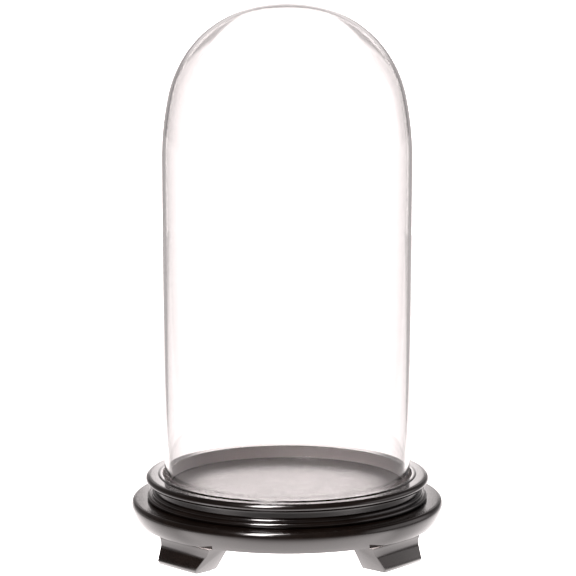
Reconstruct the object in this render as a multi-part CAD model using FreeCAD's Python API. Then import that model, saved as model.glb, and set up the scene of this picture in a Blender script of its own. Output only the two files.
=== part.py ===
"""Bell jar dome: a clear glass dome that lifts off a turned, black-lacquered wooden base.

Millimetres, +Z up. The origin is the centre of the base, at the level that it stands on, and the
front of the base looks along -Y. Every turned piece is an outline in (radius, height) revolved
about Z. The four feet are sawn blocks with a moulded outer face.
"""
import FreeCAD, Part
import math
import os

V = FreeCAD.Vector
AXIS_Z = V(0, 0, 1)
ORIGIN = V(0, 0, 0)

# --- Driving dimensions -------------------------------------------------------------------------
# Heights above the surface that the base stands on.
PLINTH_BOTTOM = 23.3
PLINTH_WIDEST = 35.8
PLINTH_TOP = 48.5
FLOOR_TOP = 51.5
COLLAR_LEDGE = 60.6

# Plinth: the wide lower board with a fat rounded edge and two beads above it.
PLINTH_RADIUS = 128.6
PLINTH_FOOT_RADIUS = 124.5
PLINTH_FACE_ROUND = 8.0
PLINTH_EDGE_ROUND = 2.8
PLINTH_EDGE_START = math.radians(25)
LOWER_BEAD_RADIUS = 115.7
LOWER_BEAD_ROUND = 2.3
UPPER_BEAD_RADIUS = 111.4
UPPER_BEAD_HEIGHT = 46.0
NECK_RADIUS = 109.5

# Collar: the upper ring, with a round nose, a flat ledge and a small raised lip. Its underside is
# rebated for the display floor.
COLLAR_RADIUS = 116.7
COLLAR_NOSE = 3.3
COLLAR_COVE = 1.6
LIP_RADIUS = 106.1
LIP_HEIGHT = 0.7
LIP_ROUND = 0.3
SEAT_RADIUS = 103.1

# Display floor: a thin disc on top of the plinth, let into the collar's rebate.
FLOOR_RADIUS = 106.0
FLOOR_CLEARANCE = 0.3

# Glass dome: nearly straight wall, slack shoulder, round haunch and a flatter crown.
GLASS_WALL = 3.0
GLASS_FOOT_RADIUS = 101.2
GLASS_RADIUS = 102.0
GLASS_WALL_TOP = 320.2
SHOULDER_RADIUS = 254.0
SHOULDER_TURN = math.radians(12.0)
HAUNCH_RADIUS = 93.2
HAUNCH_END = math.radians(80.1)
GLASS_RIM_ROUND = 1.4

# Feet: each stands on an azimuth, with its moulded face square to it.
FOOT_AZIMUTH = 47.5
FOOT_INNER_FACE = 99.7
FOOT_LAND = 123.6
FOOT_LAND_HEIGHT = 3.1
FOOT_COVE_MIDDLE = (122.3, 18.0)
FOOT_NECK = (122.1, 16.5)
FOOT_TOE = (124.5, 4.0)
FOOT_BEVEL = 2.0
FOOT_UPRIGHT_SIDE = 21.3
FOOT_SLANTED_SIDE_TOP = 37.8
FOOT_SLANTED_SIDE_BOTTOM = 22.6
FOOT_EDGE_ROUND = 0.6

# Felt pads under the feet.
PAD_THICKNESS = 1.0
PAD_INSET = 2.5
PAD_CORNER = 2.0

# Pan-head wood screws, two up through each foot into the plinth.
SCREW_RADIAL = 112.0
SCREW_OFFSET = 10.0
SCREW_HEAD_RADIUS = 4.0
SCREW_HEAD_HEIGHT = 2.8
SCREW_RADIUS = 2.0
SCREW_CORE_RADIUS = 1.5
SCREW_LENGTH = 30.0
SCREW_POINT = 4.0
SCREW_SLOT_WIDTH = 1.0
SCREW_SLOT_LENGTH = 4.4
SCREW_SLOT_DEPTH = 1.4
COUNTERBORE_RADIUS = 4.6
COUNTERBORE_DEPTH = 6.0
SCREW_CLEARANCE = 0.3

FEET = {
    "foot_front_left": (-1, -1),
    "foot_front_right": (1, -1),
    "foot_back_left": (-1, 1),
    "foot_back_right": (1, 1),
}


# --- Outline helpers ----------------------------------------------------------------------------
def on_circle(centre, radius, angle):
    """The point of a circle at an angle from the outward radial direction, up being positive."""
    return (centre[0] + radius * math.cos(angle), centre[1] + radius * math.sin(angle))


def outline_face(start, steps):
    """A closed face in the XZ plane. Each step is (end,) for a line or (through, end) for an arc."""
    edges = []
    here = V(start[0], 0, start[1])
    for step in steps + [(start,)]:
        end = V(step[-1][0], 0, step[-1][1])
        if (end - here).Length < 1e-6:
            continue
        if len(step) == 1:
            edges.append(Part.LineSegment(here, end).toShape())
        else:
            through = V(step[0][0], 0, step[0][1])
            edges.append(Part.Arc(here, through, end).toShape())
        here = end
    return Part.Face(Part.Wire(edges))


def turned(start, steps):
    """A solid of revolution about Z from an outline in (radius, height)."""
    return outline_face(start, steps).revolve(ORIGIN, AXIS_Z, 360)


def quarter(centre, radius, start_angle):
    """An arc step that turns clockwise by a quarter of a circle from start_angle."""
    middle = on_circle(centre, radius, start_angle - math.pi / 4)
    return (middle, on_circle(centre, radius, start_angle - math.pi / 2))


# --- Turned pieces ------------------------------------------------------------------------------
def plinth():
    """The lower board: fat edge, two beads, a flat top, and pilot holes for the foot screws."""
    rise = PLINTH_WIDEST - PLINTH_BOTTOM
    tuck = PLINTH_RADIUS - PLINTH_FOOT_RADIUS
    belly = (rise**2 + tuck**2) / (2 * tuck)
    belly_centre = (PLINTH_RADIUS - belly, PLINTH_WIDEST)
    face_centre = (PLINTH_RADIUS - PLINTH_FACE_ROUND, PLINTH_WIDEST)
    edge_centre = on_circle(face_centre, PLINTH_FACE_ROUND - PLINTH_EDGE_ROUND, PLINTH_EDGE_START)
    edge_middle = (PLINTH_EDGE_START + math.pi / 2) / 2
    ledge = edge_centre[1] + PLINTH_EDGE_ROUND
    lower_bead = (LOWER_BEAD_RADIUS - LOWER_BEAD_ROUND, ledge + LOWER_BEAD_ROUND)
    lower_bead_top = lower_bead[1] + LOWER_BEAD_ROUND
    upper_bead = (NECK_RADIUS, UPPER_BEAD_HEIGHT)
    upper_round = UPPER_BEAD_RADIUS - NECK_RADIUS
    upper_start = math.asin((lower_bead_top - UPPER_BEAD_HEIGHT) / upper_round)
    board = turned(
        (0, PLINTH_BOTTOM),
        [
            ((PLINTH_FOOT_RADIUS, PLINTH_BOTTOM),),
            (on_circle(belly_centre, belly, -math.asin(rise / belly) / 2), (PLINTH_RADIUS, PLINTH_WIDEST)),
            (on_circle(face_centre, PLINTH_FACE_ROUND, PLINTH_EDGE_START / 2),
             on_circle(face_centre, PLINTH_FACE_ROUND, PLINTH_EDGE_START)),
            (on_circle(edge_centre, PLINTH_EDGE_ROUND, edge_middle), (edge_centre[0], ledge)),
            ((lower_bead[0], ledge),),
            (on_circle(lower_bead, LOWER_BEAD_ROUND, 0), (lower_bead[0], lower_bead_top)),
            (on_circle(upper_bead, upper_round, upper_start),),
            (on_circle(upper_bead, upper_round, math.pi / 6), (NECK_RADIUS, UPPER_BEAD_HEIGHT + upper_round)),
            ((NECK_RADIUS, PLINTH_TOP),),
            ((0, PLINTH_TOP),),
        ],
    )
    for name in FEET:
        for x, y in screw_places(name):
            pilot_length = PAD_THICKNESS + COUNTERBORE_DEPTH + SCREW_LENGTH - PLINTH_BOTTOM
            board = board.cut(Part.makeCylinder(SCREW_CORE_RADIUS, pilot_length, V(x, y, PLINTH_BOTTOM)))
    return board


def collar_ring():
    """The upper ring: seat wall, raised lip, flat ledge, round nose, and a cove above the neck."""
    rebate_radius = FLOOR_RADIUS + FLOOR_CLEARANCE
    lip_top = COLLAR_LEDGE + LIP_HEIGHT
    nose_centre = (COLLAR_RADIUS - COLLAR_NOSE, COLLAR_LEDGE - COLLAR_NOSE)
    nose_bottom = COLLAR_LEDGE - 2 * COLLAR_NOSE
    cove_height = nose_bottom - FLOOR_TOP
    cove_middle = (NECK_RADIUS + 0.3 * COLLAR_COVE, FLOOR_TOP + 0.7 * cove_height)
    return turned(
        (SEAT_RADIUS, FLOOR_TOP),
        [
            ((SEAT_RADIUS, lip_top - LIP_ROUND),),
            quarter((SEAT_RADIUS + LIP_ROUND, lip_top - LIP_ROUND), LIP_ROUND, math.pi),
            ((LIP_RADIUS - LIP_ROUND, lip_top),),
            quarter((LIP_RADIUS - LIP_ROUND, lip_top - LIP_ROUND), LIP_ROUND, math.pi / 2),
            ((LIP_RADIUS, COLLAR_LEDGE),),
            ((nose_centre[0], COLLAR_LEDGE),),
            (on_circle(nose_centre, COLLAR_NOSE, 0), (nose_centre[0], nose_bottom)),
            ((NECK_RADIUS + COLLAR_COVE, nose_bottom),),
            (cove_middle, (NECK_RADIUS, FLOOR_TOP)),
            ((NECK_RADIUS, PLINTH_TOP),),
            ((rebate_radius, PLINTH_TOP),),
            ((rebate_radius, FLOOR_TOP),),
        ],
    )


def display_floor():
    """The disc that the exhibit and the dome stand on."""
    return Part.makeCylinder(FLOOR_RADIUS, FLOOR_TOP - PLINTH_TOP, V(0, 0, PLINTH_TOP))


def glass_dome():
    """The blown dome: one wall of even thickness with a fire-polished rim."""
    shoulder = (GLASS_RADIUS - SHOULDER_RADIUS, GLASS_WALL_TOP)
    haunch = on_circle(shoulder, SHOULDER_RADIUS - HAUNCH_RADIUS, SHOULDER_TURN)
    haunch_end = on_circle(haunch, HAUNCH_RADIUS, HAUNCH_END)
    crown_radius = haunch_end[0] / math.cos(HAUNCH_END)
    crown = (0, haunch_end[1] - crown_radius * math.sin(HAUNCH_END))
    crown_middle = (HAUNCH_END + math.pi / 2) / 2
    haunch_middle = (SHOULDER_TURN + HAUNCH_END) / 2

    def skin(inset):
        """The arcs of one surface, from the top of the straight wall to the axis."""
        return [
            (on_circle(shoulder, SHOULDER_RADIUS - inset, SHOULDER_TURN / 2),
             on_circle(shoulder, SHOULDER_RADIUS - inset, SHOULDER_TURN)),
            (on_circle(haunch, HAUNCH_RADIUS - inset, haunch_middle),
             on_circle(haunch, HAUNCH_RADIUS - inset, HAUNCH_END)),
            (on_circle(crown, crown_radius - inset, crown_middle), (0, crown[1] + crown_radius - inset)),
        ]

    outer = skin(0)
    inner = skin(GLASS_WALL)
    inner_down = [
        (inner[2][0], inner[1][1]),
        (inner[1][0], inner[0][1]),
        (inner[0][0], (GLASS_RADIUS - GLASS_WALL, GLASS_WALL_TOP)),
    ]
    inner_foot = GLASS_FOOT_RADIUS - GLASS_WALL
    outer_round = (GLASS_FOOT_RADIUS - GLASS_RIM_ROUND, FLOOR_TOP + GLASS_RIM_ROUND)
    inner_round = (inner_foot + GLASS_RIM_ROUND, FLOOR_TOP + GLASS_RIM_ROUND)
    return turned(
        (outer_round[0], FLOOR_TOP),
        [
            (on_circle(outer_round, GLASS_RIM_ROUND, -math.pi / 4), (GLASS_FOOT_RADIUS, outer_round[1])),
            ((GLASS_RADIUS, GLASS_WALL_TOP),),
        ]
        + outer
        + [(inner[2][1],)]
        + inner_down
        + [
            ((inner_foot, inner_round[1]),),
            (on_circle(inner_round, GLASS_RIM_ROUND, -3 * math.pi / 4), (inner_round[0], FLOOR_TOP)),
        ],
    )


# --- Feet, pads and screws ----------------------------------------------------------------------
def place_at_foot(shape, name):
    """Moves a shape from the foot's own frame to its corner of the base.

    In the foot's own frame +X points outward and +Y towards the slanted side, which faces the
    front or back of the base. The corners are mirror images of each other.
    """
    side, depth = FEET[name]
    turned_shape = shape.copy()
    turned_shape.rotate(ORIGIN, AXIS_Z, 90 - FOOT_AZIMUTH)
    if side < 0:
        turned_shape = turned_shape.mirror(ORIGIN, V(1, 0, 0))
    if depth < 0:
        turned_shape = turned_shape.mirror(ORIGIN, V(0, 1, 0))
    return turned_shape


def screw_places(name):
    """The two screw axes of a foot, as (x, y) in the base's frame."""
    places = []
    for offset in (-SCREW_OFFSET, SCREW_OFFSET):
        marker = place_at_foot(Part.Vertex(V(SCREW_RADIAL, offset, 0)), name)
        places.append((marker.X, marker.Y))
    return places


def foot():
    """One bracket foot in its own frame: land, cove and flared face outside, one side slanted."""
    land_bottom = (FOOT_LAND, PLINTH_BOTTOM - FOOT_LAND_HEIGHT)
    moulding = outline_face(
        (FOOT_INNER_FACE, PAD_THICKNESS),
        [
            ((FOOT_INNER_FACE, PLINTH_BOTTOM),),
            ((FOOT_LAND, PLINTH_BOTTOM),),
            (land_bottom,),
            (FOOT_COVE_MIDDLE, FOOT_NECK),
            (FOOT_TOE,),
            ((FOOT_TOE[0] - FOOT_BEVEL, PAD_THICKNESS),),
        ],
    )
    reach = FOOT_SLANTED_SIDE_TOP
    block = moulding.extrude(V(0, FOOT_UPRIGHT_SIDE + reach, 0))
    block.translate(V(0, -FOOT_UPRIGHT_SIDE, 0))
    far = FOOT_TOE[0] + 1
    near = FOOT_INNER_FACE - 1
    corners = [
        V(near, FOOT_SLANTED_SIDE_BOTTOM, PAD_THICKNESS),
        V(near, FOOT_SLANTED_SIDE_TOP, PLINTH_BOTTOM),
        V(near, FOOT_SLANTED_SIDE_TOP + 1, PLINTH_BOTTOM),
        V(near, FOOT_SLANTED_SIDE_TOP + 1, PAD_THICKNESS),
    ]
    waste = Part.Face(Part.makePolygon(corners + corners[:1])).extrude(V(far - near, 0, 0))
    shaped = block.cut(waste)
    return shaped.makeFillet(FOOT_EDGE_ROUND, side_edges(shaped))


def side_edges(block):
    """The long edges of a foot that run from its pad to just under the plinth."""
    chosen = []
    for edge in block.Edges:
        box = edge.BoundBox
        upright = box.ZLength > 0.5 * (PLINTH_BOTTOM - PAD_THICKNESS)
        if upright and box.XMax < FOOT_INNER_FACE + 0.1:
            chosen.append(edge)
    return chosen


def foot_bores():
    """The counterbores and clearance holes of one foot, in its own frame."""
    bores = []
    for offset in (-SCREW_OFFSET, SCREW_OFFSET):
        counterbore = Part.makeCylinder(
            COUNTERBORE_RADIUS, COUNTERBORE_DEPTH, V(SCREW_RADIAL, offset, PAD_THICKNESS)
        )
        clearance = Part.makeCylinder(
            SCREW_RADIUS + SCREW_CLEARANCE, PLINTH_BOTTOM, V(SCREW_RADIAL, offset, PAD_THICKNESS)
        )
        bores.append(counterbore.fuse(clearance))
    return bores


def pad():
    """The felt pad under one foot, in the foot's frame."""
    toe = FOOT_TOE[0] - FOOT_BEVEL
    low = V(FOOT_INNER_FACE + PAD_INSET, PAD_INSET - FOOT_UPRIGHT_SIDE, 0)
    length = toe - FOOT_INNER_FACE - 2 * PAD_INSET
    width = FOOT_UPRIGHT_SIDE + FOOT_SLANTED_SIDE_BOTTOM - 2 * PAD_INSET
    slab = Part.makeBox(length, width, PAD_THICKNESS, low)
    corners = [edge for edge in slab.Edges if edge.BoundBox.ZLength > 0.5 * PAD_THICKNESS]
    return slab.makeFillet(PAD_CORNER, corners)


def wood_screw(x, y):
    """A pan-head wood screw, head down, its shank going up into the plinth."""
    seat = PAD_THICKNESS + COUNTERBORE_DEPTH
    underside = seat - SCREW_HEAD_HEIGHT
    head = Part.makeCylinder(SCREW_HEAD_RADIUS, SCREW_HEAD_HEIGHT, V(x, y, underside))
    crown_edge = [edge for edge in head.Edges if edge.BoundBox.ZMax < underside + 0.1]
    head = head.makeFillet(SCREW_HEAD_HEIGHT / 2, crown_edge)
    shank = Part.makeCylinder(SCREW_RADIUS, SCREW_LENGTH - SCREW_POINT, V(x, y, seat))
    point = Part.makeCone(SCREW_RADIUS, 0.2, SCREW_POINT, V(x, y, seat + SCREW_LENGTH - SCREW_POINT))
    screw = head.fuse(shank).fuse(point)
    for size in ((SCREW_SLOT_LENGTH, SCREW_SLOT_WIDTH), (SCREW_SLOT_WIDTH, SCREW_SLOT_LENGTH)):
        corner = V(x - size[0] / 2, y - size[1] / 2, underside)
        screw = screw.cut(Part.makeBox(size[0], size[1], SCREW_SLOT_DEPTH, corner))
    return screw.removeSplitter()


def foot_screws():
    """All the foot screws, as separate solids in one group."""
    return Part.makeCompound([wood_screw(x, y) for name in FEET for x, y in screw_places(name)])


# --- Assembly -----------------------------------------------------------------------------------
def main():
    os.makedirs("parts", exist_ok=True)
    pieces = {
        "glass_dome": glass_dome(),
        "collar_ring": collar_ring(),
        "display_floor": display_floor(),
        "plinth": plinth(),
        "foot_screws": foot_screws(),
    }
    blank = foot()
    for bore in foot_bores():
        blank = blank.cut(bore)
    felt = pad()
    for name in FEET:
        pieces[name] = place_at_foot(blank, name)
        pieces[name.replace("foot", "pad")] = place_at_foot(felt, name)
    for node, shape in pieces.items():
        shape.exportStep(f"parts/{node}.step")
        box = shape.BoundBox
        print(node, shape.isValid(), len(shape.Solids), round(shape.Volume), box)


main()
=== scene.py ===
"""Looks of the bell jar dome: clear blown glass on a turned, black-lacquered base, on a lit table."""
import math

import bmesh
import bpy
from mathutils import Matrix, Vector, noise


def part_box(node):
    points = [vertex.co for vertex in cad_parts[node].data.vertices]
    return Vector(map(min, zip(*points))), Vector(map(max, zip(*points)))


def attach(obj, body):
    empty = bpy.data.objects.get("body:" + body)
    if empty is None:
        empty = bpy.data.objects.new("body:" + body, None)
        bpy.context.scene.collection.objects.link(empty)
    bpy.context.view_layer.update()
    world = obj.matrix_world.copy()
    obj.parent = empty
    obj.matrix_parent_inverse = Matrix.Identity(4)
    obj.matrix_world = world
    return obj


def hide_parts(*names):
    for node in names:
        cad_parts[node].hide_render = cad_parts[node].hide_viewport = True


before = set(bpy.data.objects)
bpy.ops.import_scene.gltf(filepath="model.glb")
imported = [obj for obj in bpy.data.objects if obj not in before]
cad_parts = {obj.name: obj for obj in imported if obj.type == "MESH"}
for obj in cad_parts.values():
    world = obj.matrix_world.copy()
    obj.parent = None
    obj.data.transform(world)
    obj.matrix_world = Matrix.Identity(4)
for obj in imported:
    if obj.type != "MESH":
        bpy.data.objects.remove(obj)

MM = 0.001
HALF_PI = math.pi / 2
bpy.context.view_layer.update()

# --- Places read from the frame -----------------------------------------------------------------
PLINTH_LOW, PLINTH_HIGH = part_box("plinth")
COLLAR_LOW, COLLAR_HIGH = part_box("collar_ring")
FLOOR_LOW, FLOOR_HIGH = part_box("display_floor")
DOME_LOW, DOME_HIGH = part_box("glass_dome")
PLINTH_RADIUS = PLINTH_HIGH.x
COLLAR_RADIUS = COLLAR_HIGH.x
FLOOR_RADIUS = FLOOR_HIGH.x
GLASS_RADIUS = DOME_HIGH.x
FLOOR_TOP = FLOOR_HIGH.z
PAD_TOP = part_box("pad_front_left")[1].z

# --- Sizes of the mouldings, in metres ----------------------------------------------------------
LIP_HEIGHT = 0.7 * MM
LIP_WIDTH = 3.0 * MM
LIP_ROUND = 0.3 * MM
SEAT_RADIUS = COLLAR_RADIUS - 13.6 * MM
NOSE_ROUND = 3.3 * MM
LEDGE_HEIGHT = COLLAR_HIGH.z - LIP_HEIGHT
NECK_RADIUS = COLLAR_RADIUS - 7.2 * MM
COVE_WIDTH = 0.4 * MM
FLOOR_GAP = 0.3 * MM

PLINTH_FOOT_RADIUS = PLINTH_RADIUS - 4.1 * MM
PLINTH_WIDEST = PLINTH_LOW.z + 12.5 * MM
FACE_ROUND = 8.0 * MM
EDGE_ROUND = 2.8 * MM
EDGE_START = math.radians(25)
LOWER_BEAD_RADIUS = PLINTH_RADIUS - 12.9 * MM
LOWER_BEAD_ROUND = 2.3 * MM
UPPER_BEAD_ROUND = 2.8 * MM
UPPER_BEAD_HEIGHT = PLINTH_LOW.z + 22.3 * MM
CREVICE_ROUND = 0.35 * MM
LEDGE_MARGIN = 1 * MM
COLLAR_LEDGE_MARGIN = 0.5 * MM
# Turns, in radians, that leave a small bevel where a moulding starts.
BELLY_BEVEL = 0.01
BEAD_BEVEL = 0.1

# Feet, each in its own frame: x outward from the axis, y towards the slanted side.
FOOT_AZIMUTH = math.radians(47.5)
FOOT_INNER = 99.7 * MM
FOOT_LAND = 122.4 * MM
FOOT_LAND_HEIGHT = 0.8 * MM
FOOT_HOUSING = 0.2 * MM
FOOT_TOP = PLINTH_LOW.z + FOOT_HOUSING
FOOT_NECK = (121.2 * MM, PAD_TOP + 15.5 * MM)
FOOT_TOE = (124.8 * MM, PAD_TOP + 3.0 * MM)
FOOT_BEVEL = 2.0 * MM
FOOT_SIDE = 21.3 * MM
FOOT_EDGE_ROUND = 0.5 * MM
PAD_INSET = 2.5 * MM
PAD_CORNER = 2.0 * MM
CORNERS = {
    "front_left": (-1, -1),
    "front_right": (1, -1),
    "back_left": (-1, 1),
    "back_right": (1, 1),
}
# The slanted side's reach at the pad and under the plinth. The feet are sawn by eye.
FOOT_SLANTS = {
    "front_left": (21.4 * MM, 37.2 * MM),
    "front_right": (24.2 * MM, 38.6 * MM),
    "back_left": (22.4 * MM, 37.6 * MM),
    "back_right": (22.8 * MM, 38.0 * MM),
}
# All four pads are cut alike.
PAD_SIDE = FOOT_SLANTS["back_left"][0] - PAD_INSET
# The pad's edge: the share of its height, and how far it bulges there, in millimetres.
PAD_EDGE = ((0, -0.25), (0.15, -0.05), (0.4, 0.06), (0.65, 0.05), (0.9, -0.08), (1, -0.2))
FRAY_SCALE = 900
FRAY_MM = 0.10
FRAY_RISE_MM = 2

GLASS_WALL = 3.0 * MM
GLASS_FOOT_RADIUS = GLASS_RADIUS - 0.8 * MM
GLASS_WALL_TOP = DOME_LOW.z + 268.7 * MM
SHOULDER_RADIUS = 254.0 * MM
SHOULDER_TURN = math.radians(12.0)
HAUNCH_RADIUS = 93.2 * MM
HAUNCH_END = math.radians(80.1)
GLASS_RIM_ROUND = 1.4 * MM
WAVE_SCALE = 14
WAVE_STRETCH = 0.6
WAVE_HEIGHT_MM = 0.12
WAVE_START = 20 * MM

# --- Mesh detail --------------------------------------------------------------------------------
# A radius in metres below which a point is taken as on the axis.
ON_AXIS = 1e-6
# Segments and steps are counts. Creases are in degrees, and so is the angle that a bevel starts from.
WOOD_SEGMENTS = 320
GLASS_SEGMENTS = 256
WOOD_CREASE = 35
FOOT_CREASE = 40
FELT_CREASE = 60
NO_CREASE = 180
BEVELLED_FROM = 35
BEVEL_STEPS = 3
COVE_STEPS = 6
FOOT_COVE_STEPS = 5
FOOT_FLARE_STEPS = 4
PAD_CORNER_STEPS = 16

# --- Colours and surface values -----------------------------------------------------------------
LACQUER_IOR = 1.5
LACQUER_DARK = (0.0020, 0.0012, 0.0009)
LACQUER_PALE = (0.0040, 0.0025, 0.0019)
LACQUER_ROUGHNESS = (0.12, 0.18)
FOOT_LACQUER_ROUGHNESS = (0.10, 0.15)
FLOOR_LACQUER_DARK = (0.096, 0.087, 0.085)
FLOOR_LACQUER_PALE = (0.112, 0.101, 0.099)
FLOOR_LACQUER_ROUGHNESS = (0.20, 0.27)
# Painted light: the pale colour of the collar's seat wall stands in for light seen there.
PAINTED_SEAT_LIGHT = (0.66, 0.62, 0.615)
# Painted light: the paler colour of the feet's tops stands in for light under the plinth.
PAINTED_FOOT_TOP_LIGHT = (0.32, 0.29, 0.285)
# Extra roughness on the painted-light patches.
PAINTED_PATCH_EXTRA_ROUGHNESS = 0.25
SEAT_PAINT_FROM = SEAT_RADIUS + 0.05 * MM
SEAT_PAINT_TO = SEAT_RADIUS + 0.3 * MM
FOOT_TOP_PAINT_FROM = FOOT_TOP - 0.3 * MM
FOOT_TOP_PAINT_TO = FOOT_TOP - 0.1 * MM
GLASS_IOR = 1.5
GLASS_TINT = (0.995, 0.988, 0.987, 1)
GLASS_DEPTH_COLOUR = (0.30, 0.27, 0.27, 1)
GLASS_DEPTH_DENSITY = 20
FELT_DARK = (0.010, 0.010, 0.011)
FELT_PALE = (0.045, 0.044, 0.046)
STEEL_DARK = (0.42, 0.43, 0.44)
STEEL_PALE = (0.62, 0.62, 0.60)

# --- Camera -------------------------------------------------------------------------------------
# The lens and its sensor are in millimetres. The distance is from the axis and the rises are from
# the collar's ledge, in metres.
LENS = 155.8
SENSOR_WIDTH = 36
CAMERA_DISTANCE = 2.0186
CAMERA_RISE = 0.4586
AIM_SIDE = 0.0007
AIM_RISE = 0.1542

# --- Light levels, and where they fade ----------------------------------------------------------
# Widths, starts, ends, tops and fades are in metres.
# The zones of the table and the backdrop are laid out for the main view: they are turned by
# VIEW_TURN to face it, and the table's white strip widens away from it by VIEW_SPREAD.
LIGHT_COLOUR = (1.0, 0.94, 0.935, 1)
VIEW_TURN = math.radians(1.9)
VIEW_SPREAD = 0.1155
FRONT_LIGHT = 5.8
FRONT_START = -0.125
FRONT_START_FADE = 0.04
FRONT_END = -0.29
FRONT_END_FADE = 0.17
FRONT_HALF_WIDTH = 0.19
FRONT_SIDE_FADE = 0.06
ROUND_LIGHT = 3.2
ROUND_REACH = 0.17
ROUND_FADE = 0.09
STRIP_LIGHT = 1.6
STRIP_HALF_WIDTH = 0.236
STRIP_FADE = 0.06
STRIP_FRONT = -0.13
STRIP_FRONT_FADE = 0.25
FLOOR_LIGHT = 0.54
TABLE_REACH = 6
BACKDROP_DISTANCE = 2.0
BACKDROP_HALF_WIDTH = 1.2
BACKDROP_TOP = 1.4
BACKDROP_FADE = 0.3
CORE_LIGHT = 4.3
CORE_HALF_WIDTH = 0.185
CORE_SIDE_FADE = 0.075
CORE_TOP = 0.66
CORE_TOP_FADE = 0.30
WHITE_LIGHT = 1.6
WHITE_HALF_WIDTH = 0.48
WHITE_TOP = 0.41
WHITE_SIDE_FADE = 0.10
WHITE_TOP_FADE = 0.10
EDGE_LIGHT = 0.48
GAP_LIGHT = 0.45
TOP_LIGHT = 0.9
TOP_START = 0.62
TOP_FADE = 0.25
ROOM_LIGHT = 0.08
ROOM_BEHIND_LIGHT = 0.25
WALL_LIGHT = 1.3
# Parts of a unit direction between which the room's light changes.
WALL_SIDE = (0.75, 0.95)
WALL_TOP = (0.35, 0.6)
ROOM_BEHIND = (0.2, 0.8)
SOFTBOX_LIGHT = 40
SOFTBOX_WIDTH = 0.40
SOFTBOX_LENGTH = 1.4
SOFTBOX_PLACE = (-0.42, -0.94, 1.20)


# --- Outlines in (radius, height) ---------------------------------------------------------------
def on_circle(centre, radius, angle):
    """The point of a circle at an angle from the outward direction, up being positive."""
    return (centre[0] + radius * math.cos(angle), centre[1] + radius * math.sin(angle))


def arc(centre, radius, start, end, count):
    """Points along an arc from one angle to another, both ends included."""
    return [on_circle(centre, radius, start + (end - start) * i / count) for i in range(count + 1)]


def line(start, end, count):
    """Points along a straight stretch, without its last one."""
    return [
        (start[0] + (end[0] - start[0]) * i / count, start[1] + (end[1] - start[1]) * i / count)
        for i in range(count)
    ]


def plinth_outline():
    """The lower board from the middle of its underside, round its edge and beads, to the floor's seat."""
    rise = PLINTH_WIDEST - PLINTH_LOW.z
    tuck = PLINTH_RADIUS - PLINTH_FOOT_RADIUS
    belly = (rise**2 + tuck**2) / (2 * tuck)
    belly_centre = (PLINTH_RADIUS - belly, PLINTH_WIDEST)
    face_centre = (PLINTH_RADIUS - FACE_ROUND, PLINTH_WIDEST)
    edge_centre = on_circle(face_centre, FACE_ROUND - EDGE_ROUND, EDGE_START)
    ledge = edge_centre[1] + EDGE_ROUND
    lower_bead = (LOWER_BEAD_RADIUS - LOWER_BEAD_ROUND, ledge + LOWER_BEAD_ROUND)
    lower_bead_top = lower_bead[1] + LOWER_BEAD_ROUND
    upper_bead = (NECK_RADIUS, UPPER_BEAD_HEIGHT)
    upper_start = math.asin((lower_bead_top - UPPER_BEAD_HEIGHT) / UPPER_BEAD_ROUND)
    points = line((0, PLINTH_LOW.z), (PLINTH_FOOT_RADIUS - CREVICE_ROUND, PLINTH_LOW.z), count=24)
    points += arc(belly_centre, belly, -math.asin(rise / belly) + BELLY_BEVEL, 0, count=24)
    points += arc(face_centre, FACE_ROUND, 0, EDGE_START, count=10)[1:]
    points += arc(edge_centre, EDGE_ROUND, EDGE_START, HALF_PI, count=14)[1:]
    points += line((edge_centre[0] - LEDGE_MARGIN, ledge), (lower_bead[0] + CREVICE_ROUND, ledge), count=8)
    points += arc(lower_bead, LOWER_BEAD_ROUND, -HALF_PI + BEAD_BEVEL, HALF_PI, count=24)
    points += arc(upper_bead, UPPER_BEAD_ROUND, upper_start, HALF_PI, count=18)
    neck_top = (NECK_RADIUS, PLINTH_HIGH.z)
    return points + [neck_top] + line(neck_top, (0, PLINTH_HIGH.z), count=20)


def collar_outline():
    """The upper ring, all the way round its section."""
    lip_top = COLLAR_HIGH.z
    lip_inner = (SEAT_RADIUS + LIP_ROUND, lip_top - LIP_ROUND)
    lip_outer = (SEAT_RADIUS + LIP_WIDTH - LIP_ROUND, lip_top - LIP_ROUND)
    ledge_root = (SEAT_RADIUS + LIP_WIDTH + CREVICE_ROUND, LEDGE_HEIGHT + CREVICE_ROUND)
    nose = (COLLAR_RADIUS - NOSE_ROUND, LEDGE_HEIGHT - NOSE_ROUND)
    cove_height = nose[1] - NOSE_ROUND - FLOOR_TOP
    points = [(FLOOR_RADIUS + FLOOR_GAP, FLOOR_TOP)]
    points += line((SEAT_RADIUS, FLOOR_TOP), (SEAT_RADIUS, lip_inner[1]), count=8)
    points += arc(lip_inner, LIP_ROUND, math.pi, HALF_PI, count=6)
    points += arc(lip_outer, LIP_ROUND, HALF_PI, 0, count=6)
    points += arc(ledge_root, CREVICE_ROUND, math.pi, 3 * HALF_PI, count=4)
    ledge_start = (ledge_root[0] + COLLAR_LEDGE_MARGIN, LEDGE_HEIGHT)
    points += line(ledge_start, (nose[0] - COLLAR_LEDGE_MARGIN, LEDGE_HEIGHT), count=6)
    points += arc(nose, NOSE_ROUND, HALF_PI, -HALF_PI, count=32)
    for i in range(1, COVE_STEPS + 1):
        turn = HALF_PI * i / COVE_STEPS
        points.append((NECK_RADIUS + COVE_WIDTH * (1 - math.sin(turn)),
                       FLOOR_TOP + cove_height * math.cos(turn)))
    return points + [(NECK_RADIUS, COLLAR_LOW.z), (FLOOR_RADIUS + FLOOR_GAP, COLLAR_LOW.z)]


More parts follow.
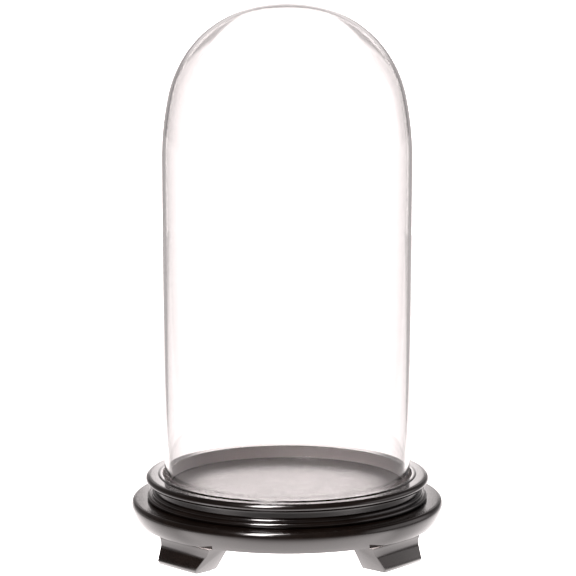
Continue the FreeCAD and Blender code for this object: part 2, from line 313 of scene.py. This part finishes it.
def dome_skin(inset):
    """One surface of the dome, from just above the rim to the axis."""
    shoulder = (GLASS_RADIUS - SHOULDER_RADIUS, GLASS_WALL_TOP)
    haunch = on_circle(shoulder, SHOULDER_RADIUS - HAUNCH_RADIUS, SHOULDER_TURN)
    haunch_end = on_circle(haunch, HAUNCH_RADIUS, HAUNCH_END)
    crown_radius = haunch_end[0] / math.cos(HAUNCH_END)
    crown = (0, haunch_end[1] - crown_radius * math.sin(HAUNCH_END))
    foot = (GLASS_FOOT_RADIUS - inset, DOME_LOW.z + GLASS_RIM_ROUND)
    points = line(foot, (GLASS_RADIUS - inset, GLASS_WALL_TOP), count=60)
    points += arc(shoulder, SHOULDER_RADIUS - inset, 0, SHOULDER_TURN, count=16)
    points += arc(haunch, HAUNCH_RADIUS - inset, SHOULDER_TURN, HAUNCH_END, count=48)[1:]
    points += arc(crown, crown_radius - inset, HAUNCH_END, HALF_PI, count=10)[1:-1]
    return points, crown[1] + crown_radius - inset


# --- Mesh makers --------------------------------------------------------------------------------
def new_object(name, mesh):
    """A new object in the scene."""
    piece = bpy.data.objects.new(name, mesh)
    bpy.context.scene.collection.objects.link(piece)
    return piece


def lathe(name, outline, segments, closed, crease_degrees, wobble=None):
    """Revolves an outline. A first or last point on the axis becomes a single vertex."""
    mesh = bmesh.new()
    rings = []
    for radius, height in outline:
        if radius < ON_AXIS:
            rings.append([mesh.verts.new((0, 0, height))])
            continue
        ring = []
        for step in range(segments):
            angle = 2 * math.pi * step / segments
            place = Vector((radius * math.sin(angle), -radius * math.cos(angle), height))
            if wobble:
                place += wobble(place)
            ring.append(mesh.verts.new(place))
        rings.append(ring)
    pairs = list(zip(rings, rings[1:]))
    if closed:
        pairs.append((rings[-1], rings[0]))
    for low, high in pairs:
        for step in range(segments):
            after = (step + 1) % segments
            if len(low) == 1:
                mesh.faces.new((low[0], high[after], high[step]))
            elif len(high) == 1:
                mesh.faces.new((low[step], low[after], high[0]))
            else:
                mesh.faces.new((low[step], low[after], high[after], high[step]))
    return finish_mesh(name, mesh, crease_degrees)


def finish_mesh(name, mesh, crease_degrees):
    """Turns a bmesh into a smooth-shaded object."""
    bmesh.ops.recalc_face_normals(mesh, faces=mesh.faces)
    data = bpy.data.meshes.new(name)
    mesh.to_mesh(data)
    mesh.free()
    data.polygons.foreach_set("use_smooth", [True] * len(data.polygons))
    data.set_sharp_from_angle(angle=math.radians(crease_degrees))
    return new_object(name, data)


def loft(name, rings, crease_degrees, edge_round=0):
    """Joins rings of equally many points and caps the ends, with its sharp edges rounded if asked."""
    mesh = bmesh.new()
    rows = [[mesh.verts.new(point) for point in ring] for ring in rings]
    for low, high in zip(rows, rows[1:]):
        for step in range(len(low)):
            after = (step + 1) % len(low)
            mesh.faces.new((low[step], low[after], high[after], high[step]))
    mesh.faces.new(rows[0][::-1])
    mesh.faces.new(rows[-1])
    bmesh.ops.recalc_face_normals(mesh, faces=mesh.faces)
    if edge_round:
        sharp = [edge for edge in mesh.edges if edge.calc_face_angle() > math.radians(BEVELLED_FROM)]
        bmesh.ops.bevel(
            mesh, geom=sharp, offset=edge_round, segments=BEVEL_STEPS, profile=0.5, affect="EDGES"
        )
    return finish_mesh(name, mesh, crease_degrees)


# --- Node helpers -------------------------------------------------------------------------------
def new_material(name):
    """A material with only a Principled shader, and its node tree."""
    material = bpy.data.materials.new(name)
    material.use_nodes = True
    tree = material.node_tree
    tree.nodes.clear()
    output = tree.nodes.new("ShaderNodeOutputMaterial")
    shader = tree.nodes.new("ShaderNodeBsdfPrincipled")
    tree.links.new(shader.outputs["BSDF"], output.inputs["Surface"])
    return material, tree, shader


def find_node(tree, kind):
    """The node of a type that the tree has one of."""
    return next(node for node in tree.nodes if node.type == kind)


def noise_node(tree, source, scale, detail, roughness=0.5):
    """Noise between zero and one."""
    node = tree.nodes.new("ShaderNodeTexNoise")
    node.inputs["Scale"].default_value = scale
    node.inputs["Detail"].default_value = detail
    node.inputs["Roughness"].default_value = roughness
    tree.links.new(source, node.inputs["Vector"])
    return node.outputs["Fac"]


def remap(tree, value, low, high, from_low=0.3, from_high=0.7):
    """A straight step between two values; as given, it takes in the middle of a noise's range."""
    node = tree.nodes.new("ShaderNodeMapRange")
    node.inputs["From Min"].default_value = from_low
    node.inputs["From Max"].default_value = from_high
    node.inputs["To Min"].default_value = low
    node.inputs["To Max"].default_value = high
    tree.links.new(value, node.inputs["Value"])
    return node.outputs["Result"]


def ramp(tree, value, stops):
    """A colour from a value, through (place, colour) stops."""
    node = tree.nodes.new("ShaderNodeValToRGB")
    elements = node.color_ramp.elements
    for index, (place, colour) in enumerate(stops):
        element = elements[index] if index < 2 else elements.new(place)
        element.position = place
        element.color = (*colour, 1)
    tree.links.new(value, node.inputs["Fac"])
    return node.outputs["Color"]


def bump(tree, height, strength, distance, under=None):
    """A normal from a height, on top of another normal if given."""
    node = tree.nodes.new("ShaderNodeBump")
    node.inputs["Strength"].default_value = strength
    node.inputs["Distance"].default_value = distance
    tree.links.new(height, node.inputs["Height"])
    if under:
        tree.links.new(under, node.inputs["Normal"])
    return node.outputs["Normal"]


def object_place(tree, scale=(1, 1, 1)):
    """Object coordinates, scaled."""
    coordinates = tree.nodes.new("ShaderNodeTexCoord")
    mapping = tree.nodes.new("ShaderNodeMapping")
    mapping.inputs["Scale"].default_value = scale
    tree.links.new(coordinates.outputs["Object"], mapping.inputs["Vector"])
    return mapping.outputs["Vector"]


def object_axes(tree):
    """Object coordinates as three separate outputs."""
    split = tree.nodes.new("ShaderNodeSeparateXYZ")
    tree.links.new(object_place(tree), split.inputs["Vector"])
    return split.outputs


def math_node(tree, operation, *values):
    """A math node on sockets or plain numbers."""
    node = tree.nodes.new("ShaderNodeMath")
    node.operation = operation
    for index, value in enumerate(values):
        if isinstance(value, (int, float)):
            node.inputs[index].default_value = value
        else:
            tree.links.new(value, node.inputs[index])
    return node.outputs["Value"]


def fade(tree, value, from_low, from_high, low=0.0, high=1.0):
    """A soft step between two values."""
    result = remap(tree, value, low, high, from_low, from_high)
    result.node.interpolation_type = "SMOOTHSTEP"
    return result


def fade_out(tree, value, start, width):
    """A soft step from one down to zero."""
    return fade(tree, value, start, start + width, 1.0, 0.0)


def aside(tree, value):
    """How far a value is from zero, on either side."""
    return math_node(tree, "ABSOLUTE", value)


def add_light(tree, mask, strength, under):
    """under plus a masked light."""
    return math_node(tree, "MULTIPLY_ADD", mask, strength, under)


def product(tree, *values):
    """Several values multiplied together."""
    total = values[0]
    for value in values[1:]:
        total = math_node(tree, "MULTIPLY", total, value)
    return total


def mix_colour(tree, share, first, second):
    """Blends two colours; second is a plain colour."""
    node = tree.nodes.new("ShaderNodeMix")
    node.data_type = "RGBA"
    tree.links.new(share, node.inputs["Factor"])
    tree.links.new(first, node.inputs["A"])
    node.inputs["B"].default_value = (*second, 1)
    return node.outputs["Result"]


# --- Materials ----------------------------------------------------------------------------------
def lacquer_material(name, roughness, dark, pale):
    """Black satin lacquer over wood: warm black, faint orange peel and a trace of the grain."""
    material, tree, shader = new_material(name)
    place = object_place(tree)
    mottling = noise_node(tree, place, scale=60, detail=4)
    colour = ramp(tree, mottling, [(0.35, dark), (0.7, pale)])
    tree.links.new(colour, shader.inputs["Base Color"])
    haze = noise_node(tree, place, scale=140, detail=5, roughness=0.6)
    tree.links.new(remap(tree, haze, *roughness), shader.inputs["Roughness"])
    shader.inputs["IOR"].default_value = LACQUER_IOR
    ripple = noise_node(tree, place, scale=900, detail=2)
    peel = bump(tree, ripple, strength=0.05, distance=0.0002)
    grain_place = object_place(tree, scale=(1, 9, 9))
    grain = noise_node(tree, grain_place, scale=120, detail=4, roughness=0.6)
    grained = bump(tree, grain, strength=0.05, distance=0.0003, under=peel)
    tree.links.new(grained, shader.inputs["Normal"])
    return material


def paint_light_and_dull(material, share, colour):
    """Paints part of a lacquer a pale colour that stands in for light (painted light), and makes it
    duller.
    """
    tree = material.node_tree
    shader = find_node(tree, "BSDF_PRINCIPLED")
    lacquer_colour = shader.inputs["Base Color"].links[0].from_socket
    roughness = shader.inputs["Roughness"].links[0].from_socket
    tree.links.new(mix_colour(tree, share, lacquer_colour, colour), shader.inputs["Base Color"])
    dull = math_node(tree, "MULTIPLY_ADD", share, PAINTED_PATCH_EXTRA_ROUGHNESS, roughness)
    tree.links.new(dull, shader.inputs["Roughness"])


def paint_seat_light(material):
    """Paints the collar's seat wall, inside the dome's rim, pale and duller; the pale colour is painted
    light.
    """
    tree = material.node_tree
    axes = object_axes(tree)
    squares = [math_node(tree, "POWER", aside(tree, axes[axis]), 2.0) for axis in "XY"]
    radius = math_node(tree, "SQRT", math_node(tree, "ADD", *squares))
    seat = fade(tree, radius, SEAT_PAINT_FROM, SEAT_PAINT_TO, 1.0, 0.0)
    paint_light_and_dull(material, seat, PAINTED_SEAT_LIGHT)


def paint_foot_top_light(material):
    """Paints the foot's top, where it meets the plinth, paler and duller; the paler colour is painted
    light.
    """
    tree = material.node_tree
    share = fade(tree, object_axes(tree)["Z"], FOOT_TOP_PAINT_FROM, FOOT_TOP_PAINT_TO)
    paint_light_and_dull(material, share, PAINTED_FOOT_TOP_LIGHT)


def glass_material():
    """Clear glass with the slow waves of blown work. It darkens with depth, so its edges show."""
    material, tree, shader = new_material("clear_blown_glass")
    shader.inputs["Base Color"].default_value = GLASS_TINT
    shader.inputs["Roughness"].default_value = 0.0
    shader.inputs["IOR"].default_value = GLASS_IOR
    shader.inputs["Transmission Weight"].default_value = 1.0
    place = object_place(tree, scale=(1, 1, 0.35))
    waves = noise_node(tree, place, scale=22, detail=2)
    tree.links.new(bump(tree, waves, strength=0.04, distance=0.001), shader.inputs["Normal"])
    depth = tree.nodes.new("ShaderNodeVolumeAbsorption")
    depth.inputs["Color"].default_value = GLASS_DEPTH_COLOUR
    depth.inputs["Density"].default_value = GLASS_DEPTH_DENSITY
    output = find_node(tree, "OUTPUT_MATERIAL")
    tree.links.new(depth.outputs["Volume"], output.inputs["Volume"])
    return material


def felt_material():
    """Dark pressed felt with a little sheen."""
    material, tree, shader = new_material("pressed_felt")
    place = object_place(tree)
    fibres = noise_node(tree, place, scale=2600, detail=6, roughness=0.7)
    colour = ramp(tree, fibres, [(0.3, FELT_DARK), (0.75, FELT_PALE)])
    tree.links.new(colour, shader.inputs["Base Color"])
    shader.inputs["Roughness"].default_value = 0.95
    shader.inputs["Sheen Weight"].default_value = 0.5
    tree.links.new(bump(tree, fibres, strength=0.6, distance=0.0004), shader.inputs["Normal"])
    return material


def steel_material():
    """Zinc-plated steel, its polish uneven."""
    material, tree, shader = new_material("zinc_plated_steel")
    place = object_place(tree, scale=(1, 1, 8))
    scratches = noise_node(tree, place, scale=900, detail=5, roughness=0.6)
    colour = ramp(tree, scratches, [(0.3, STEEL_DARK), (0.7, STEEL_PALE)])
    tree.links.new(colour, shader.inputs["Base Color"])
    shader.inputs["Metallic"].default_value = 1.0
    tree.links.new(remap(tree, scratches, low=0.22, high=0.42), shader.inputs["Roughness"])
    return material


def dress(piece, material):
    """Leaves a piece with one material."""
    piece.data.materials.clear()
    piece.data.materials.append(material)


# --- Pieces -------------------------------------------------------------------------------------
def hand_over(piece, body, node, finish):
    """Gives a piece its material, ties it to its body and hides the CAD node that it replaces."""
    dress(piece, finish)
    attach(piece, body)
    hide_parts(node)


def glass_wobble(place):
    """The slight unevenness of a blown wall, up to about a tenth of a millimetre."""
    slow = noise.noise(Vector((place.x, place.y, place.z * WAVE_STRETCH)) * WAVE_SCALE)
    rise = min(1, max(0, (place.z - DOME_LOW.z) / WAVE_START))
    away = Vector((place.x, place.y, 0)).normalized()
    return away * slow * WAVE_HEIGHT_MM * MM * rise


def build_dome():
    """The glass, from the inner crown round the rim to the outer crown."""
    outer, outer_top = dome_skin(0)
    inner, inner_top = dome_skin(GLASS_WALL)
    rim_outer = (GLASS_FOOT_RADIUS - GLASS_RIM_ROUND, DOME_LOW.z + GLASS_RIM_ROUND)
    rim_inner = (GLASS_FOOT_RADIUS - GLASS_WALL + GLASS_RIM_ROUND, DOME_LOW.z + GLASS_RIM_ROUND)
    outline = [(0, inner_top)] + inner[::-1]
    outline += arc(rim_inner, GLASS_RIM_ROUND, math.pi, 3 * HALF_PI, count=8)[1:]
    outline += arc(rim_outer, GLASS_RIM_ROUND, -HALF_PI, 0, count=8)[:-1]
    outline += outer + [(0, outer_top)]
    piece = lathe("blown_dome", outline, GLASS_SEGMENTS, False, NO_CREASE, glass_wobble)
    hand_over(piece, "dome", "glass_dome", glass_material())


def build_base(lacquer, collar_lacquer, floor_lacquer):
    """The turned pieces of the base."""
    plinth = lathe("turned_plinth", plinth_outline(), WOOD_SEGMENTS, False, WOOD_CREASE)
    collar = lathe("turned_collar", collar_outline(), WOOD_SEGMENTS, True, WOOD_CREASE)
    floor_points = line((0, FLOOR_TOP), (FLOOR_RADIUS, FLOOR_TOP), count=40)
    floor_points += [(FLOOR_RADIUS, FLOOR_TOP), (FLOOR_RADIUS, FLOOR_LOW.z), (0, FLOOR_LOW.z)]
    floor = lathe("floor_disc", floor_points, WOOD_SEGMENTS, False, WOOD_CREASE)
    for piece, node, slot, finish in (
        (plinth, "plinth", "black_lacquer", lacquer),
        (collar, "collar_ring", "black_lacquer", collar_lacquer),
        (floor, "display_floor", "floor_lacquer", floor_lacquer),
    ):
        hand_over(piece, "base", node, finish)


def at_corner(point, corner):
    """Moves a point from a foot's own frame to its corner of the base."""
    side, depth = CORNERS[corner]
    turned = Matrix.Rotation(HALF_PI - FOOT_AZIMUTH, 3, "Z") @ Vector(point)
    return Vector((side * turned.x, depth * turned.y, turned.z))


def foot_outline():
    """A foot's section in (outward, height): inner face, land, cove, flared face and bevel."""
    land_bottom = PLINTH_LOW.z - FOOT_LAND_HEIGHT
    points = [(FOOT_INNER, PAD_TOP), (FOOT_INNER, FOOT_TOP), (FOOT_LAND, FOOT_TOP)]
    for i in range(FOOT_COVE_STEPS + 1):
        share = 1 - i / FOOT_COVE_STEPS
        points.append((FOOT_NECK[0] + (FOOT_LAND - FOOT_NECK[0]) * share**2,
                       FOOT_NECK[1] + (land_bottom - FOOT_NECK[1]) * share))
    for i in range(1, FOOT_FLARE_STEPS + 1):
        points.append((FOOT_NECK[0] + (FOOT_TOE[0] - FOOT_NECK[0]) * i / FOOT_FLARE_STEPS,
                       FOOT_NECK[1] + (FOOT_TOE[1] - FOOT_NECK[1]) * i / FOOT_FLARE_STEPS))
    return points + [(FOOT_TOE[0] - FOOT_BEVEL, PAD_TOP)]


def build_foot(corner, lacquer):
    """One bracket foot with softened edges."""
    low, high = FOOT_SLANTS[corner]
    outline = foot_outline()
    upright = [(x, -FOOT_SIDE, z) for x, z in outline]
    slanted = [
        (x, low + (high - low) * (z - PAD_TOP) / (PLINTH_LOW.z - PAD_TOP), z) for x, z in outline
    ]
    rings = [[at_corner(point, corner) for point in ring] for ring in (upright, slanted)]
    piece = loft("bracket_foot_" + corner, rings, FOOT_CREASE, FOOT_EDGE_ROUND)
    hand_over(piece, "base", "foot_" + corner, lacquer)


def rounded_rectangle(low, high, radius, count):
    """Points round a rectangle with round corners, from (x, y) to (x, y)."""
    points = []
    corners = ((high[0], high[1]), (low[0], high[1]), (low[0], low[1]), (high[0], low[1]))
    middle = ((low[0] + high[0]) / 2, (low[1] + high[1]) / 2)
    for index, (x, y) in enumerate(corners):
        centre = (x - math.copysign(radius, x - middle[0]), y - math.copysign(radius, y - middle[1]))
        points += arc(centre, radius, index * HALF_PI, (index + 1) * HALF_PI, count)
    return points


def build_pad(corner, felt):
    """One cut felt pad: its edge bulges a little under the load, and its fibres fray."""
    low = (FOOT_INNER + PAD_INSET, PAD_INSET - FOOT_SIDE)
    high = (FOOT_TOE[0] - FOOT_BEVEL - PAD_INSET, PAD_SIDE)
    rings = []
    for share, bulge in PAD_EDGE:
        start = (low[0] - bulge * MM, low[1] - bulge * MM)
        end = (high[0] + bulge * MM, high[1] + bulge * MM)
        ring = []
        for x, y in rounded_rectangle(start, end, PAD_CORNER, PAD_CORNER_STEPS):
            fray = noise.noise(Vector((x, y, share * FRAY_RISE_MM * MM)) * FRAY_SCALE) * FRAY_MM * MM
            ring.append(at_corner((x + fray, y - fray, share * PAD_TOP), corner))
        rings.append(ring)
    piece = loft("felt_" + corner, rings, FELT_CREASE)
    hand_over(piece, "base", "pad_" + corner, felt)


# --- Stage --------------------------------------------------------------------------------------
def glow_material(name, strength_of, cover_of=None):
    """An emitter seen from its front only. Its strength and cover come from object coordinates."""
    material = bpy.data.materials.new(name)
    material.use_nodes = True
    tree = material.node_tree
    tree.nodes.clear()
    output = tree.nodes.new("ShaderNodeOutputMaterial")
    glow = tree.nodes.new("ShaderNodeEmission")
    glow.inputs["Color"].default_value = LIGHT_COLOUR
    coordinates = tree.nodes.new("ShaderNodeTexCoord")
    split = tree.nodes.new("ShaderNodeSeparateXYZ")
    tree.links.new(coordinates.outputs["Object"], split.inputs["Vector"])
    places = [split.outputs[axis] for axis in "XYZ"]
    tree.links.new(strength_of(tree, *places), glow.inputs["Strength"])
    clear = tree.nodes.new("ShaderNodeBsdfTransparent")
    side = tree.nodes.new("ShaderNodeNewGeometry")
    hidden = side.outputs["Backfacing"]
    if cover_of:
        open_part = math_node(tree, "SUBTRACT", 1.0, cover_of(tree, *places))
        hidden = math_node(tree, "MAXIMUM", hidden, open_part)
    mix = tree.nodes.new("ShaderNodeMixShader")
    tree.links.new(hidden, mix.inputs["Fac"])
    tree.links.new(glow.outputs["Emission"], mix.inputs[1])
    tree.links.new(clear.outputs["BSDF"], mix.inputs[2])
    tree.links.new(mix.outputs["Shader"], output.inputs["Surface"])
    return material


def sheet_object(name, corners, material):
    """A flat stage sheet through four corners, facing the way that they turn about."""
    data = bpy.data.meshes.new(name)
    data.from_pydata(corners, [], [(0, 1, 2, 3)])
    sheet = new_object(name, data)
    sheet.rotation_euler.z = -VIEW_TURN
    dress(sheet, material)


def table_strength(tree, x, y, z):
    """Brightest just in front of the object, bright round it, white as far as the view, then pale."""
    spread = math_node(tree, "MULTIPLY_ADD", y, -VIEW_SPREAD, aside(tree, x))
    strip = product(
        tree,
        fade_out(tree, spread, STRIP_HALF_WIDTH, STRIP_FADE),
        fade(tree, y, STRIP_FRONT - STRIP_FRONT_FADE, STRIP_FRONT),
    )
    distance = math_node(
        tree, "SQRT", math_node(tree, "ADD", product(tree, x, x), product(tree, y, y))
    )
    near = fade_out(tree, distance, ROUND_REACH, ROUND_FADE)
    front = product(
        tree,
        fade_out(tree, aside(tree, x), FRONT_HALF_WIDTH, FRONT_SIDE_FADE),
        fade(tree, y, FRONT_END, FRONT_END + FRONT_END_FADE),
        fade_out(tree, y, FRONT_START, FRONT_START_FADE),
    )
    pale = add_light(tree, strip, STRIP_LIGHT - FLOOR_LIGHT, FLOOR_LIGHT)
    bright = add_light(tree, product(tree, near, strip), ROUND_LIGHT - STRIP_LIGHT, pale)
    return add_light(tree, front, FRONT_LIGHT - ROUND_LIGHT, bright)


def backdrop_strength(tree, x, y, z):
    """Brightest in the middle, white over the view, grey at its edges, a dark gap and a pale top."""
    core = product(
        tree,
        fade_out(tree, aside(tree, x), CORE_HALF_WIDTH, CORE_SIDE_FADE),
        fade_out(tree, z, CORE_TOP, CORE_TOP_FADE),
    )
    white = product(
        tree,
        fade_out(tree, aside(tree, x), WHITE_HALF_WIDTH, WHITE_SIDE_FADE),
        fade_out(tree, z, WHITE_TOP, WHITE_TOP_FADE),
    )
    low = fade(tree, z, WHITE_TOP, WHITE_TOP + WHITE_TOP_FADE, EDGE_LIGHT, GAP_LIGHT)
    high = fade(tree, z, TOP_START, TOP_START + TOP_FADE, 0.0, TOP_LIGHT - GAP_LIGHT)
    grey = math_node(tree, "ADD", low, high)
    pale = add_light(tree, white, WHITE_LIGHT - EDGE_LIGHT, grey)
    return add_light(tree, core, CORE_LIGHT - WHITE_LIGHT, pale)


def backdrop_cover(tree, x, y, z):
    """The backdrop fades out softly towards its sides and top."""
    sides = fade(tree, aside(tree, x), BACKDROP_HALF_WIDTH - BACKDROP_FADE, BACKDROP_HALF_WIDTH, 1.0, 0.0)
    top = fade(tree, z, BACKDROP_TOP - BACKDROP_FADE, BACKDROP_TOP, 1.0, 0.0)
    return math_node(tree, "MULTIPLY", sides, top)


def build_stage():
    """A glowing table and a backdrop behind it, brightest where the main view sees the object."""
    reach = TABLE_REACH
    sheet_object(
        "light_table",
        [(-reach, -reach, 0), (reach, -reach, 0), (reach, reach, 0), (-reach, reach, 0)],
        glow_material("white_table", table_strength),
    )
    half, top, back = BACKDROP_HALF_WIDTH, BACKDROP_TOP, BACKDROP_DISTANCE
    sheet_object(
        "backdrop",
        [(-half, back, 0), (half, back, 0), (half, back, top), (-half, back, top)],
        glow_material("white_backdrop", backdrop_strength, backdrop_cover),
    )


def build_world():
    """A dim room, a little lighter behind the object, with a paler wall on the right."""
    world = bpy.data.worlds.new("studio")
    bpy.context.scene.world = world
    world.use_nodes = True
    tree = world.node_tree
    tree.nodes.clear()
    output = tree.nodes.new("ShaderNodeOutputWorld")
    background = tree.nodes.new("ShaderNodeBackground")
    background.inputs["Color"].default_value = LIGHT_COLOUR
    coordinates = tree.nodes.new("ShaderNodeTexCoord")
    split = tree.nodes.new("ShaderNodeSeparateXYZ")
    tree.links.new(coordinates.outputs["Generated"], split.inputs["Vector"])
    x, y, z = (split.outputs[axis] for axis in "XYZ")
    wall = math_node(tree, "MULTIPLY", fade(tree, x, *WALL_SIDE), fade(tree, z, *WALL_TOP, 1.0, 0.0))
    room = remap(tree, y, ROOM_LIGHT, ROOM_BEHIND_LIGHT, *ROOM_BEHIND)
    tree.links.new(add_light(tree, wall, WALL_LIGHT, room), background.inputs["Strength"])
    tree.links.new(background.outputs["Background"], output.inputs["Surface"])


def build_softbox():
    """The overhead softbox, a little to the left and in front."""
    light = bpy.data.lights.new("softbox", "AREA")
    light.shape = "RECTANGLE"
    light.size = SOFTBOX_WIDTH
    light.size_y = SOFTBOX_LENGTH
    light.energy = SOFTBOX_LIGHT * math.pi * SOFTBOX_WIDTH * SOFTBOX_LENGTH
    light.color = LIGHT_COLOUR[:3]
    lamp = bpy.data.objects.new("softbox", light)
    bpy.context.scene.collection.objects.link(lamp)
    target = Vector((0, 0, PLINTH_HIGH.z))
    lamp.location = Vector(SOFTBOX_PLACE)
    lamp.rotation_euler = (target - lamp.location).to_track_quat("-Z", "Y").to_euler()


def build_camera():
    """The camera at the main view's angle."""
    camera = bpy.data.cameras.new("camera")
    camera.lens = LENS
    camera.sensor_width = SENSOR_WIDTH
    holder = bpy.data.objects.new("camera", camera)
    bpy.context.scene.collection.objects.link(holder)
    aim = Vector((AIM_SIDE, 0, LEDGE_HEIGHT + AIM_RISE))
    offset = Matrix.Rotation(-VIEW_TURN, 3, "Z") @ Vector((0, -CAMERA_DISTANCE, 0))
    holder.location = Vector((offset.x, offset.y, LEDGE_HEIGHT + CAMERA_RISE))
    holder.rotation_euler = (aim - holder.location).to_track_quat("-Z", "Y").to_euler()
    bpy.context.scene.camera = holder


def main():
    """Builds the object's pieces, then the stage, the lights and the camera."""
    bpy.context.scene.view_settings.view_transform = "Standard"
    black = (LACQUER_DARK, LACQUER_PALE)
    lacquer = lacquer_material("black_satin_lacquer", LACQUER_ROUGHNESS, *black)
    collar_lacquer = lacquer_material("collar_satin_lacquer", LACQUER_ROUGHNESS, *black)
    # Painted light on the collar's seat wall.
    paint_seat_light(collar_lacquer)
    floor_lacquer = lacquer_material(
        "floor_satin_lacquer", FLOOR_LACQUER_ROUGHNESS, FLOOR_LACQUER_DARK, FLOOR_LACQUER_PALE
    )
    build_dome()
    build_base(lacquer, collar_lacquer, floor_lacquer)
    felt = felt_material()
    foot_lacquer = lacquer_material("foot_satin_lacquer", FOOT_LACQUER_ROUGHNESS, *black)
    # Painted light on the tops of the feet.
    paint_foot_top_light(foot_lacquer)
    for corner in CORNERS:
        build_foot(corner, foot_lacquer)
        build_pad(corner, felt)
    dress(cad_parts["foot_screws"], steel_material())
    build_stage()
    build_world()
    build_softbox()
    build_camera()


main()
